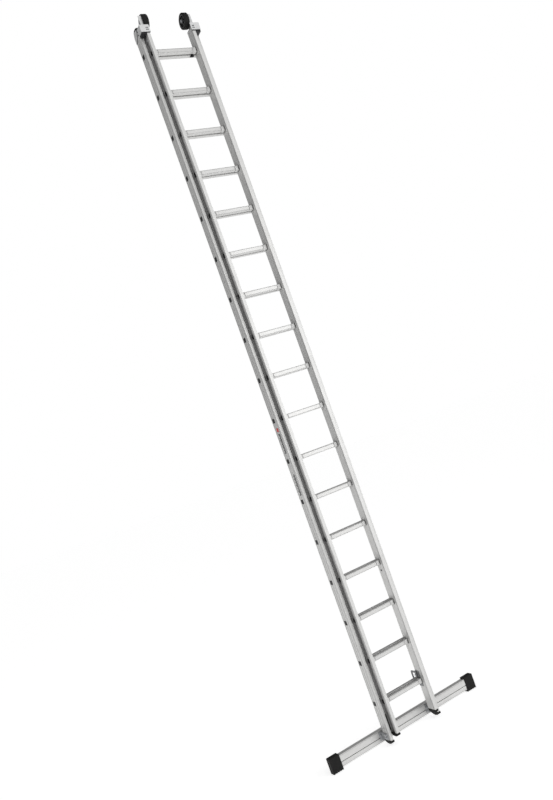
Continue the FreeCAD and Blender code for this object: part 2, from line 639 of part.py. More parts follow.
def hanger(side, hand):
    near, far = span(hand, HANGER_INNER, HANGER_OUTER)
    wide = "hangerWide/2"
    profile = [("flyFront + channelStart + 3", "hangerLow"), ("flyFront + channelEnd - 3", "hangerLow"),
               ("flyFront + channelEnd - 3", SHOULDER), (f"{AXLE_BACK} + {wide}", f"{SHOULDER} + 20"),
               (f"{AXLE_BACK} + {wide}", "hangerTop - 20"), (f"{AXLE_BACK} + 12", "hangerTop"),
               (f"{AXLE_BACK} - {wide}", "hangerTop"), (f"{AXLE_BACK} - {wide}", f"{SHOULDER} + 6"),
               ("flyFront + channelStart + 3", SHOULDER)]
    web = plate(f"hanger_web_{side}", profile, near, "hangerPlate")
    holes = [(FLY_RUNG, f"hangerLow + {up}") for up in HANGER_BOLTS]
    cross_holes(web, holes, "boltRadius + boltFit")
    cross_holes(web, [(AXLE_BACK, "wheelUp")], "axleRadius + axleFit")
    low, high = span(hand, HANGER_OUTER, f"{HANGER_OUTER} + hangerFlange")
    flange = block(f"hanger_flange_{side}", (low, f"{AXLE_BACK} - {wide}", f"{SHOULDER} + 6"),
                   ("hangerFlange", "hangerPlate", f"hangerTop - {SHOULDER} - 6"))
    joined(f"wheel_bracket_{side}", [web, flange])
    bolts = []
    for step, (along, up) in enumerate(holes):
        face = (over(hand, HANGER_OUTER), along, up)
        bolts.append(fastener(f"hanger_bolt_{side}{step}", face, "x", int(hand), "boltRadius",
                              "hangerPlate + flyWide - channelDeep", "boltHead", "boltHeadTall - 2"))
    return bolts


def wheel(side, hand):
    hub = new_body(f"wheel_hub_{side}")
    section = [("wheelWide/2", "axleRadius + axleFit"), ("wheelWide/2", "hubRadius"), ("webThick/2", "hubRadius"),
               ("webThick/2", "wheelRadius - tyreThick - rimThick"),
               ("wheelWide/2 - 1", "wheelRadius - tyreThick - rimThick"),
               ("wheelWide/2 - 1", "wheelRadius - tyreThick")]
    sketch = sketch_on(hub, "XZ_Plane")
    outline(sketch, section + [(f"-({a})", b) for a, b in reversed(section)])
    spin(hub, sketch)
    windows = sketch_on(hub, "YZ_Plane")
    ring(windows, "windowRing*sin(180/spokeCount)", "windowRing*cos(180/spokeCount)", "windowRadius")
    around(hub, cut_through(hub, windows))
    spoke = sketch_on(hub, "YZ_Plane")
    rectangle(spoke, "-spokeThick/2", "spokeThick/2", "hubRadius - 1", "wheelRadius - tyreThick - rimThick + 1")
    around(hub, pad(hub, spoke, "wheelWide - 10", both=True))
    put(hub, over(hand, WHEEL_MIDDLE), AXLE_BACK, "wheelUp")
    tyre = new_body(f"wheel_tyre_{side}")
    crown = [("wheelWide/2", "wheelRadius - tyreThick"), ("wheelWide/2", "wheelRadius - 4"),
             ("wheelWide/2 - 1.5", "wheelRadius - 1.2"), ("wheelWide/2 - 4", "wheelRadius"),
             ("3", "wheelRadius"), ("2", "wheelRadius - 1.5")]
    sketch = sketch_on(tyre, "XZ_Plane")
    outline(sketch, crown + [(f"-({a})", b) for a, b in reversed(crown)])
    spin(tyre, sketch)
    put(tyre, over(hand, WHEEL_MIDDLE), AXLE_BACK, "wheelUp")
    face = over(hand, f"{WHEEL_OUTER} - wheelWide - 1")
    keep(f"wheel_axle_{side}", fastener(f"wheel_axle_{side}", (face, AXLE_BACK, "wheelUp"), "x", -int(hand),
                                        "axleRadius", "wheelWide + wheelInset + hangerPlate + 10",
                                        "axleHead", "boltHeadTall"))
    low, high = span(hand, HANGER_OUTER, f"{HANGER_OUTER} + nutTall")
    bore = rod(f"nut_bore_{side}", (low, AXLE_BACK, "wheelUp"), "axleRadius + axleFit", "nutTall", "x")
    nut = prism(f"nut_body_{side}", (low, AXLE_BACK, "wheelUp"), 6, "axleHead", "nutTall")
    nut.Placement.Rotation = bore.Placement.Rotation
    whole = doc.addObject("Part::Cut", f"nut_{side}")
    whole.Base = nut
    whole.Tool = bore
    return whole


def around(body, feature):
    """Repeat a feature round the body's X axis, once for each spoke."""
    axis = next(f for f in body.Origin.OriginFeatures if f.Role == "X_Axis")
    pattern = body.newObject("PartDesign::PolarPattern", f"{body.Name}_round")
    pattern.Originals = [feature]
    pattern.Axis = (axis, [""])
    pattern.Angle = 360
    pattern.setExpression("Occurrences", bind("spokeCount"))
    body.Tip = pattern


group("wheel_bracket_bolts", [bolt for side, hand in HANDS for bolt in hanger(side, hand)])
group("wheel_nuts", [wheel(side, hand) for side, hand in HANDS])


# Rung latches: a mount plate on each fly stile's inner face, with a sprung hook on a pin.
LATCH_Y = "(flyFront + latchBack)"
MOUNT_INNER = f"({FLY_INNER} - latchMount)"
HOOK_INNER = f"({FLY_INNER} - latchMount - latchGap - latchPlate)"
SPRING_INNER = f"({HOOK_INNER} - latchGap - springWide)"
HOOK_POINTS = [("-10", "0"), ("-4", "-10"), ("6", "-10"), ("10", "0"), ("10", "12"), ("37", "14"), ("40", "6"),
               ("40", "-34"), ("48", "-34"), ("54", "-26"), ("54", "14"), ("47", "24"), ("-6", "27"), ("-13", "20")]
MOUNT_POINTS = [("36", "-40"), ("76", "-40"), ("76", "66"), ("36", "66"), ("36", "22"), ("66", "22"), ("66", "-20"),
                ("36", "-20")]


def latch(side, hand):
    near, far = span(hand, MOUNT_INNER, FLY_INNER)
    points = [(f"flyFront + {a}", f"firstRung + {b}") for a, b in MOUNT_POINTS]
    mount = keep(f"latch_mount_{side}", plate(f"latch_mount_{side}", points, near, "latchMount"))
    cross_holes(mount, [(LATCH_Y, "latchUp")], "pinRadius + holeFit")
    near, far = span(hand, HOOK_INNER, f"{HOOK_INNER} + latchPlate")
    blade = plate(f"hook_blade_{side}", [(f"{LATCH_Y} + ({a})", f"latchUp + ({b})") for a, b in HOOK_POINTS], near,
                  "latchPlate")
    boss = rod(f"hook_boss_{side}", (near, LATCH_Y, "latchUp"), "latchBoss", "latchPlate", "x")
    whole = doc.addObject("Part::Fuse", f"hook_whole_{side}")
    whole.Base = blade
    whole.Tool = boss
    bore = rod(f"hook_bore_{side}", (near, LATCH_Y, "latchUp"), "pinRadius + pinFit", "latchPlate", "x")
    carved(f"latch_hook_{side}", whole, [bore])
    face = (over(hand, f"{SPRING_INNER} - 0.5"), LATCH_Y, "latchUp")
    pin = fastener(f"latch_pin_{side}", face, "x", -int(hand), "pinRadius",
                   "0.5 + springWide + 2*latchGap + latchPlate + latchMount + flyWide - railWall", "pinHead",
                   "pinHeadTall")
    spring = doc.addObject("PartDesign::Body", f"latch_spring_{side}")
    sketch = sketch_on(spring, "XZ_Plane")
    turns = [(f"{step}*springWide/4 + {shift}", radius) for step in range(4)
             for shift, radius in (("0.1", "7.6"), ("1.1", "7.6"), ("1.2", "6.8")) if (step, shift) != (3, "1.2")]
    outline(sketch, [("0.1", "pinRadius + 0.6")] + turns + [("3*springWide/4 + 1.1", "pinRadius + 0.6")])
    spin(spring, sketch)
    near, far = span(hand, SPRING_INNER, f"{SPRING_INNER} + springWide")
    put(spring, near, LATCH_Y, "latchUp")
    return pin, spring


latches = [latch(side, hand) for side, hand in HANDS]
group("latch_pins", [pin for pin, spring in latches])
group("latch_springs", [spring for pin, spring in latches])


# Small parts: fly guide shoes in the base's tracks, stop rivets, and clips on the base's top rung.
def shoe(side, hand):
    low, high = span(hand, FLY_OUTER, f"{FLY_OUTER} + shoeOut")
    return block(f"shoe_{side}", (low, "flyFront + shoeStart", "shoeLow"), ("shoeOut", "shoeDeep", "shoeTall"))


def stop_rivet(side, hand):
    return fastener(f"stop_rivet_{side}", (over(hand, FLY_INNER), FLY_RUNG, "stopRivetUp"), "x", -int(hand),
                    "boltRadius", "flyWide - channelDeep", "boltRadius + 2", "2")


def rung_clip(side, hand):
    middle = over(hand, "clipAcross")
    front = f"{BASE_RUNG} - rungSide/2 - clipThick"
    parts = [("neck", "clipNeck", "-26", "44", "clipThick"), ("head", "clipWide", "8", "10", "clipThick"),
             ("toe", "clipWide", "-26", "10", "clipThick"), ("top", "clipWide", "rungSide/2", "3", "24"),
             ("under", "clipWide", "-(rungSide/2 + 3)", "3", "20")]
    solids = []
    for name, wide, up, tall, deep in parts:
        corner = (f"{middle} - {wide}/2", front, f"{LAST_RUNG} + {up}")
        solids.append(block(f"clip_{name}_{side}", corner, (wide, deep, tall)))
    whole = doc.addObject("Part::MultiFuse", f"clip_{side}")
    whole.Shapes = solids
    return whole


group("glide_shoes", [shoe(side, hand) for side, hand in HANDS])
group("stop_rivets", [stop_rivet(side, hand) for side, hand in HANDS])
group("rung_clips", [rung_clip(side, hand) for side, hand in HANDS])


# Check every object, then write each sub-part.
doc.recompute()
failed = [thing.Name for thing in doc.Objects if {"Invalid", "Error"} & set(thing.State)]
failed += [label for label, thing in pieces.items() if thing.Shape.isNull() or not thing.Shape.isValid()]
if failed:
    raise RuntimeError(f"failed objects: {failed}")
os.makedirs("parts", exist_ok=True)
whole_box = FreeCAD.BoundBox()
for label, thing in pieces.items():
    thing.Shape.exportStep(f"parts/{label}.step")
    whole_box.add(thing.Shape.BoundBox)
    print(f"{label}: {len(thing.Shape.Solids)} solid(s), {thing.Shape.Volume / 1000:.1f} cm3")
print(f"{len(pieces)} sub-parts, box {whole_box}")
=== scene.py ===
import math

import bmesh
import bpy
from mathutils import Matrix, Vector


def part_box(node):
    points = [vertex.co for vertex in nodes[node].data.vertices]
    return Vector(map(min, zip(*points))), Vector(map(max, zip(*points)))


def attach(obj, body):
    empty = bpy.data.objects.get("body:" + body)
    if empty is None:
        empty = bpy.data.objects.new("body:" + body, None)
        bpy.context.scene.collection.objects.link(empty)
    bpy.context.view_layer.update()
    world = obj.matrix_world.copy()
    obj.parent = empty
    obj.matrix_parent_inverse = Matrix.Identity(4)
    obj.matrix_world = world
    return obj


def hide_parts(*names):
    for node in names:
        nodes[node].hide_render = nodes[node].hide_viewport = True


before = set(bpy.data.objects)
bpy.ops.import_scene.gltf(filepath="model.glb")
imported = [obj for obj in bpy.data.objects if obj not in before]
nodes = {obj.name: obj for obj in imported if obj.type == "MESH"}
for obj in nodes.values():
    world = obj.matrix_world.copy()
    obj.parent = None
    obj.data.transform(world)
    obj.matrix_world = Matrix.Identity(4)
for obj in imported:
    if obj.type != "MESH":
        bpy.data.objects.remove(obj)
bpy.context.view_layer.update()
print("ladder frame loaded:", len(nodes), "parts")


# camera: level, a little left of the ladder's front, rolled so the ladder leans
cameraLook = {
    "lens": 33.5,
    "place": (-2.352, -4.361, 2.0706),
    "turn": math.radians(27.7),    # to the right of straight ahead
    "roll": math.radians(19.66),
    "shift": (-0.0314, 0.0499),
    "farthest": 200,
}


def makeCamera(look):
    data = bpy.data.cameras.new("ladderCamera")
    data.lens = look["lens"]
    data.shift_x, data.shift_y = look["shift"]
    data.clip_end = look["farthest"]
    camera = bpy.data.objects.new("ladderCamera", data)
    bpy.context.scene.collection.objects.link(camera)
    turn, roll = look["turn"], look["roll"]
    ahead = Vector((math.sin(turn), math.cos(turn), 0))
    right = Vector((math.cos(turn), -math.sin(turn), 0))
    up = Vector((0, 0, 1))
    camX = right * math.cos(roll) - up * math.sin(roll)
    camY = right * math.sin(roll) + up * math.cos(roll)
    turned = Matrix((camX, camY, -ahead)).transposed()
    camera.matrix_world = Matrix.Translation(look["place"]) @ turned.to_4x4()
    bpy.context.scene.camera = camera


makeCamera(cameraLook)


# studio: pale floor in a white room whose reflections are brightest in front and low down
studioLook = {
    "floorSize": 120,
    "floorColour": (0.90, 0.90, 0.90, 1),
    "floorRoughness": 0.8,
    "floorShine": 0.0,
    "floorGlow": 0.72,    # lifts the floor to the tone of the room
    "room": (1.0, 1.0, 1.0, 1),
    "roomBright": (0.35, -0.90, -0.25),    # the way to the brightest reflection
    "reflections": (    # share of the way round to the bright side, brightness
        (0.0, 0.30), (0.30, 0.24), (0.55, 0.32), (0.75, 0.66), (0.90, 1.14), (1.0, 1.32),
    ),
    "boxes": (    # place, aimed at, size, power
        ((3.4, -5.6, 3.0), (0, 0, 1.6), (2.4, 4.8), 45),
        ((-4.5, -3.0, 4.5), (0, 0, 2.6), (2.0, 4.0), 30),
    ),
    "tones": "Standard",
}


def makeFloor(look):
    bpy.ops.mesh.primitive_plane_add(size=look["floorSize"])
    floor = bpy.context.object
    floor.name = "studio_floor"
    material = bpy.data.materials.new("paleFloor")
    material.use_nodes = True
    shader = material.node_tree.nodes["Principled BSDF"]
    shader.inputs["Base Color"].default_value = look["floorColour"]
    shader.inputs["Roughness"].default_value = look["floorRoughness"]
    shader.inputs["Specular IOR Level"].default_value = look["floorShine"]
    shader.inputs["Emission Color"].default_value = look["floorColour"]
    shader.inputs["Emission Strength"].default_value = look["floorGlow"]
    floor.data.materials.append(material)


def makeRoom(look):
    # plain to look at, shaded from side to side in what the metal reflects
    world = bpy.data.worlds.new("paleRoom")
    bpy.context.scene.world = world
    world.use_nodes = True
    tree = world.node_tree
    tree.nodes.clear()
    coords = tree.nodes.new("ShaderNodeTexCoord")
    facing = tree.nodes.new("ShaderNodeVectorMath")
    facing.operation = "DOT_PRODUCT"
    facing.inputs[1].default_value = Vector(look["roomBright"]).normalized()
    spread = tree.nodes.new("ShaderNodeMapRange")
    spread.inputs["From Min"].default_value = -1
    shades = tree.nodes.new("ShaderNodeValToRGB")
    ramp = shades.color_ramp
    while len(ramp.elements) < len(look["reflections"]):
        ramp.elements.new(1.0)
    for step, (place, value) in zip(ramp.elements, look["reflections"]):
        step.position = place
        step.color = (value, value, value, 1)
    rays = tree.nodes.new("ShaderNodeLightPath")
    choose = tree.nodes.new("ShaderNodeMix")
    choose.data_type = "RGBA"
    room = tree.nodes.new("ShaderNodeBackground")
    out = tree.nodes.new("ShaderNodeOutputWorld")
    tree.links.new(coords.outputs["Generated"], facing.inputs[0])
    tree.links.new(facing.outputs["Value"], spread.inputs["Value"])
    tree.links.new(spread.outputs["Result"], shades.inputs["Fac"])
    tree.links.new(rays.outputs["Is Camera Ray"], choose.inputs["Factor"])
    tree.links.new(shades.outputs["Color"], choose.inputs[6])    # colour A
    choose.inputs[7].default_value = look["room"]    # colour B
    tree.links.new(choose.outputs[2], room.inputs["Color"])    # mixed colour
    tree.links.new(room.outputs["Background"], out.inputs["Surface"])


def makeSoftBoxes(look):
    for number, (place, target, size, power) in enumerate(look["boxes"]):
        data = bpy.data.lights.new(f"softBox{number}", "AREA")
        data.shape = "RECTANGLE"
        data.size, data.size_y = size
        data.energy = power
        lamp = bpy.data.objects.new(f"softBox{number}", data)
        bpy.context.scene.collection.objects.link(lamp)
        lamp.location = place
        lamp.rotation_euler = (Vector(target) - Vector(place)).to_track_quat("-Z", "Y").to_euler()


makeFloor(studioLook)
makeRoom(studioLook)
makeSoftBoxes(studioLook)
bpy.context.scene.view_settings.view_transform = studioLook["tones"]
print("camera and studio ready")


# shared effects, each a node group with named sockets
def newGroup(name, inputs, outputs):
    tree = bpy.data.node_groups.new(name, "ShaderNodeTree")
    for label, kind, value in inputs:
        socket = tree.interface.new_socket(label, in_out="INPUT", socket_type=kind)
        socket.default_value = value
    for label, kind in outputs:
        tree.interface.new_socket(label, in_out="OUTPUT", socket_type=kind)
    return tree, tree.nodes.new("NodeGroupInput"), tree.nodes.new("NodeGroupOutput")


def noise(tree, vector, scale, detail, rough=0.5):
    node = tree.nodes.new("ShaderNodeTexNoise")
    node.inputs["Detail"].default_value = detail
    node.inputs["Roughness"].default_value = rough
    tree.links.new(vector, node.inputs["Vector"])
    if isinstance(scale, (int, float)):
        node.inputs["Scale"].default_value = scale
    else:
        tree.links.new(scale, node.inputs["Scale"])
    return node.outputs["Fac"]


def remap(tree, value, low, high):
    # spreads low to high over nought to one
    node = tree.nodes.new("ShaderNodeMapRange")
    node.inputs["From Min"].default_value = low
    node.inputs["From Max"].default_value = high
    tree.links.new(value, node.inputs["Value"])
    return node.outputs["Result"]


def maths(tree, kind, first, second):
    node = tree.nodes.new("ShaderNodeMath")
    node.operation = kind
    for slot, value in enumerate((first, second)):
        if isinstance(value, (int, float)):
            node.inputs[slot].default_value = value
        else:
            tree.links.new(value, node.inputs[slot])
    return node.outputs[0]


# long fine die lines of an extrusion, with a slow drift in tone
drawnLook = {
    "fineScale": 1.0, "fineDetail": 3, "fineRough": 0.6, "fineShare": 0.6,
    "broadScale": 0.22, "broadDetail": 2, "broadShare": 0.4,
    "driftDetail": 2, "contrast": (0.3, 0.7),
}


def drawnGrain(look):
    tree, start, end = newGroup(
        "drawnGrain",
        [("Stretch", "NodeSocketVector", (700, 700, 2)), ("Drift Scale", "NodeSocketFloat", 3.0)],
        [("Lines", "NodeSocketFloat"), ("Drift", "NodeSocketFloat"), ("Height", "NodeSocketFloat")])
    coords = tree.nodes.new("ShaderNodeTexCoord")
    mapping = tree.nodes.new("ShaderNodeMapping")
    tree.links.new(coords.outputs["Object"], mapping.inputs["Vector"])
    tree.links.new(start.outputs["Stretch"], mapping.inputs["Scale"])
    fine = noise(tree, mapping.outputs["Vector"], look["fineScale"], look["fineDetail"], look["fineRough"])
    broad = noise(tree, mapping.outputs["Vector"], look["broadScale"], look["broadDetail"])
    fineShare = maths(tree, "MULTIPLY", fine, look["fineShare"])
    broadShare = maths(tree, "MULTIPLY", broad, look["broadShare"])
    lines = maths(tree, "ADD", fineShare, broadShare)
    drift = noise(tree, coords.outputs["Object"], start.outputs["Drift Scale"], look["driftDetail"])
    tree.links.new(remap(tree, lines, *look["contrast"]), end.inputs["Lines"])
    tree.links.new(remap(tree, drift, *look["contrast"]), end.inputs["Drift"])
    tree.links.new(lines, end.inputs["Height"])
    return tree


# a rounded normal, and a mask of where it leaves the flat one, used for edge wear and, on the wheel hubs,
# for a painted highlight
edgeLook = {"samples": 6, "turned": (0.995, 0.90), "patchDetail": 3, "patches": (0.35, 0.6)}


def wornAndHighlightEdges(look):
    tree, start, end = newGroup(
        "wornAndHighlightEdges",
        [("Radius", "NodeSocketFloat", 0.0008), ("Breakup", "NodeSocketFloat", 60.0)],
        [("Edge", "NodeSocketFloat"), ("Normal", "NodeSocketVector")])
    bevel = tree.nodes.new("ShaderNodeBevel")
    bevel.samples = look["samples"]
    tree.links.new(start.outputs["Radius"], bevel.inputs["Radius"])
    flat = tree.nodes.new("ShaderNodeNewGeometry")
    dot = tree.nodes.new("ShaderNodeVectorMath")
    dot.operation = "DOT_PRODUCT"
    tree.links.new(bevel.outputs["Normal"], dot.inputs[0])
    tree.links.new(flat.outputs["Normal"], dot.inputs[1])
    coords = tree.nodes.new("ShaderNodeTexCoord")
    patchy = noise(tree, coords.outputs["Object"], start.outputs["Breakup"], look["patchDetail"])
    edge = remap(tree, dot.outputs["Value"], *look["turned"])
    wearAndHighlightMask = maths(tree, "MULTIPLY", edge, remap(tree, patchy, *look["patches"]))
    tree.links.new(wearAndHighlightMask, end.inputs["Edge"])
    tree.links.new(bevel.outputs["Normal"], end.inputs["Normal"])
    return tree


# dull smears, and fine scratches that run every way
marksLook = {
    "smearDetail": 5, "smearRough": 0.65, "smears": (0.45, 0.75),
    "hair": (0.012, 0.0), "sparseScale": 11.0, "sparseDetail": 2, "sparse": (0.52, 0.62),
}


def handledMarks(look):
    tree, start, end = newGroup(
        "handledMarks",
        [("Smear Scale", "NodeSocketFloat", 7.0), ("Scratch Scale", "NodeSocketFloat", 45.0)],
        [("Smears", "NodeSocketFloat"), ("Scratches", "NodeSocketFloat")])
    coords = tree.nodes.new("ShaderNodeTexCoord")
    spots = coords.outputs["Object"]
    smears = noise(tree, spots, start.outputs["Smear Scale"], look["smearDetail"], look["smearRough"])
    scratch = tree.nodes.new("ShaderNodeTexVoronoi")
    scratch.feature = "DISTANCE_TO_EDGE"
    tree.links.new(spots, scratch.inputs["Vector"])
    tree.links.new(start.outputs["Scratch Scale"], scratch.inputs["Scale"])
    sparse = noise(tree, spots, look["sparseScale"], look["sparseDetail"])
    hair = remap(tree, scratch.outputs["Distance"], *look["hair"])
    tree.links.new(remap(tree, smears, *look["smears"]), end.inputs["Smears"])
    scratches = maths(tree, "MULTIPLY", hair, remap(tree, sparse, *look["sparse"]))
    tree.links.new(scratches, end.inputs["Scratches"])
    return tree


# the fine pebble of a moulded black part, with dust in it
mouldLook = {"grainDetail": 3, "dustDetail": 5, "dustRough": 0.65, "dust": (0.4, 0.75)}


def mouldedGrain(look):
    tree, start, end = newGroup(
        "mouldedGrain",
        [("Grain Scale", "NodeSocketFloat", 900.0), ("Dust Scale", "NodeSocketFloat", 30.0)],
        [("Grain", "NodeSocketFloat"), ("Dust", "NodeSocketFloat")])
    coords = tree.nodes.new("ShaderNodeTexCoord")
    spots = coords.outputs["Object"]
    grain = noise(tree, spots, start.outputs["Grain Scale"], look["grainDetail"])
    dust = noise(tree, spots, start.outputs["Dust Scale"], look["dustDetail"], look["dustRough"])
    tree.links.new(grain, end.inputs["Grain"])
    tree.links.new(remap(tree, dust, *look["dust"]), end.inputs["Dust"])
    return tree


# painted shade in grooves and between close faces: base colour darkened where ambient occlusion finds
# nearby surfaces
gapLook = {"samples": 8, "closed": (0.85, 0.25)}


def shadedGaps(look):
    tree, start, end = newGroup(
        "shadedGaps",
        [("Reach", "NodeSocketFloat", 0.03), ("Amount", "NodeSocketFloat", 0.6)],
        [("Shade", "NodeSocketFloat")])
    closed = tree.nodes.new("ShaderNodeAmbientOcclusion")
    closed.samples = look["samples"]
    tree.links.new(start.outputs["Reach"], closed.inputs["Distance"])
    shade = remap(tree, closed.outputs["AO"], *look["closed"])
    tree.links.new(maths(tree, "MULTIPLY", shade, start.outputs["Amount"]), end.inputs["Shade"])
    return tree


grainGroup = drawnGrain(drawnLook)
edgeGroup = wornAndHighlightEdges(edgeLook)
marksGroup = handledMarks(marksLook)
mouldGroup = mouldedGrain(mouldLook)
gapGroup = shadedGaps(gapLook)
print("shared effects ready")


class Paint:
    # one material being built: its tree, its shader and short ways to add nodes
    def __init__(self, name, metallic, roughness):
        self.material = bpy.data.materials.new(name)
        self.material.use_nodes = True
        self.tree = self.material.node_tree
        self.shader = self.tree.nodes["Principled BSDF"]
        self.shader.inputs["Metallic"].default_value = metallic
        self.shader.inputs["Roughness"].default_value = roughness

    def effect(self, group, **values):
        node = self.tree.nodes.new("ShaderNodeGroup")
        node.node_tree = group
        for label, value in values.items():
            node.inputs[label.replace("_", " ")].default_value = value
        return node.outputs

    def times(self, value, amount):
        return maths(self.tree, "MULTIPLY", value, amount)

    def mix(self, amount, first, second):
        node = self.tree.nodes.new("ShaderNodeMix")
        node.data_type = "RGBA"
        for label, value in (("Factor", amount), ("A", first), ("B", second)):
            socket = next(s for s in node.inputs if s.name == label and s.enabled)
            if isinstance(value, (int, float, tuple)):
                socket.default_value = value
            else:
                self.tree.links.new(value, socket)
        return next(s for s in node.outputs if s.enabled)

    def join(self, value, label):
        self.tree.links.new(value, self.shader.inputs[label])

    def bump(self, height, distance, strength, normal=None):
        node = self.tree.nodes.new("ShaderNodeBump")
        node.inputs["Distance"].default_value = distance
        node.inputs["Strength"].default_value = strength
        self.tree.links.new(height, node.inputs["Height"])
        if normal is not None:
            self.tree.links.new(normal, node.inputs["Normal"])
        self.join(node.outputs["Normal"], "Normal")


def millAluminium(name, look):
    paint = Paint(name, look["metallic"], look["roughness"])
    grain = paint.effect(grainGroup, Stretch=look["stretch"], Drift_Scale=look["driftScale"])
    edges = paint.effect(edgeGroup, Radius=look["edgeRadius"])
    marks = paint.effect(marksGroup, Smear_Scale=look["smearScale"])
    tone = paint.mix(grain["Lines"], look["dark"], look["light"])
    tone = paint.mix(paint.times(grain["Drift"], look["drift"]), tone, look["driftColour"])
    tone = paint.mix(paint.times(marks["Smears"], look["smears"]), tone, look["smearColour"])
    tone = paint.mix(paint.times(edges["Edge"], look["edgeWear"]), tone, look["edgeColour"])
    # painted shade: the mill finish darkens toward gapColour where ambient occlusion is low, in the fly's
    # side gap, the rung grooves and the joints
    gaps = paint.effect(gapGroup, Reach=look["gapReach"], Amount=look["gapShade"])
    paint.join(paint.mix(gaps["Shade"], tone, look["gapColour"]), "Base Color")
    smoothest = look["roughness"] - look["lineRough"] / 2
    rough = maths(paint.tree, "ADD", smoothest, paint.times(grain["Lines"], look["lineRough"]))
    rough = maths(paint.tree, "ADD", rough, paint.times(marks["Smears"], look["smearRough"]))
    paint.join(rough, "Roughness")
    scratches = paint.times(marks["Scratches"], look["scratchDepth"])
    height = maths(paint.tree, "SUBTRACT", grain["Height"], scratches)
    paint.bump(height, look["lineDepth"], look["relief"], edges["Normal"])
    return paint.material


def platedSteel(name, look):
    paint = Paint(name, look["metallic"], look["roughness"])
    edges = paint.effect(edgeGroup, Radius=look["edgeRadius"])
    mould = paint.effect(mouldGroup, Grain_Scale=look["grainScale"], Dust_Scale=look["blotchScale"])
    tone = paint.mix(mould["Dust"], look["light"], look["dark"])
    tone = paint.mix(paint.times(edges["Edge"], look["edgeWear"]), tone, look["edgeColour"])
    paint.join(tone, "Base Color")
    dusty = paint.times(mould["Dust"], look["dustRough"])
    paint.join(maths(paint.tree, "ADD", look["roughness"], dusty), "Roughness")
    paint.bump(mould["Grain"], look["grainDepth"], look["relief"], edges["Normal"])
    return paint.material


def blackMoulding(name, look):
    paint = Paint(name, 0.0, look["roughness"])
    paint.shader.inputs["Specular IOR Level"].default_value = look["shine"]
    edges = paint.effect(edgeGroup, Radius=look["edgeRadius"], Breakup=look["edgeBreakup"])
    mould = paint.effect(mouldGroup, Grain_Scale=look["grainScale"], Dust_Scale=look["dustScale"])
    tone = paint.mix(paint.times(mould["Dust"], look["dust"]), look["colour"], look["dustColour"])
    # edges paler: real wear on rubber and plastic, a painted highlight on the wheel hubs
    tone = paint.mix(paint.times(edges["Edge"], look["wearAndHighlight"]), tone, look["wearAndHighlightColour"])
    paint.join(tone, "Base Color")
    dusty = paint.times(mould["Dust"], look["dustRough"])
    paint.join(maths(paint.tree, "ADD", look["roughness"], dusty), "Roughness")
    paint.bump(mould["Grain"], look["grainDepth"], look["relief"], edges["Normal"])
    return paint.material


# aluminium: the stiles' own finish, and what the rungs, beam and plates change in it
millLook = {
    "metallic": 0.5, "roughness": 0.40, "lineRough": 0.08, "smearRough": 0.08,
    "light": (0.69, 0.69, 0.685, 1), "dark": (0.56, 0.56, 0.55, 1),
    "stretch": (650, 650, 1.6), "lineDepth": 0.00006, "scratchDepth": 0.5, "relief": 0.5,
    "driftScale": 2.6, "drift": 0.5, "driftColour": (0.68, 0.675, 0.665, 1),
    "smearScale": 5.0, "smears": 0.35, "smearColour": (0.56, 0.555, 0.545, 1),
    "edgeRadius": 0.0008, "edgeWear": 0.6, "edgeColour": (0.82, 0.82, 0.82, 1),
    "gapReach": 0.05, "gapShade": 0.55, "gapColour": (0.10, 0.10, 0.10, 1),
}
rungLook = {**millLook, "stretch": (1.6, 800, 800), "roughness": 0.34, "gapReach": 0.009, "gapShade": 1.0}
beamLook = {**millLook, "stretch": (1.2, 500, 500)}
plateLook = {
    **millLook, "stretch": (90, 90, 90), "roughness": 0.30,
    "light": (0.72, 0.725, 0.73, 1), "dark": (0.60, 0.605, 0.61, 1),
}

# steel: bright bolts, dull plates, the latches and the dark rivets
zincLook = {
    "metallic": 1.0, "roughness": 0.28, "dustRough": 0.15, "relief": 0.4,
    "light": (0.72, 0.73, 0.75, 1), "dark": (0.55, 0.56, 0.58, 1),
    "grainScale": 500, "grainDepth": 0.00004, "blotchScale": 90,
    "edgeRadius": 0.0006, "edgeWear": 0.7, "edgeColour": (0.85, 0.86, 0.88, 1),
}
galvanisedLook = {
    **zincLook, "metallic": 0.8, "roughness": 0.42,
    "light": (0.42, 0.43, 0.44, 1), "dark": (0.28, 0.285, 0.29, 1),
    "grainScale": 300, "grainDepth": 0.00006, "blotchScale": 45,
    "edgeRadius": 0.0010, "edgeColour": (0.6, 0.6, 0.61, 1),
}
latchLook = {
    **zincLook, "metallic": 0.7, "roughness": 0.42,
    "light": (0.26, 0.265, 0.27, 1), "dark": (0.16, 0.163, 0.167, 1),
    "grainScale": 420, "grainDepth": 0.00005, "blotchScale": 60,
    "edgeRadius": 0.0008, "edgeColour": (0.45, 0.45, 0.46, 1),
}
darkSteelLook = {
    **zincLook, "metallic": 0.9, "roughness": 0.38,
    "light": (0.11, 0.115, 0.12, 1), "dark": (0.05, 0.052, 0.055, 1),
    "grainScale": 420, "grainDepth": 0.00005, "blotchScale": 60,
    "edgeColour": (0.35, 0.35, 0.36, 1),
}

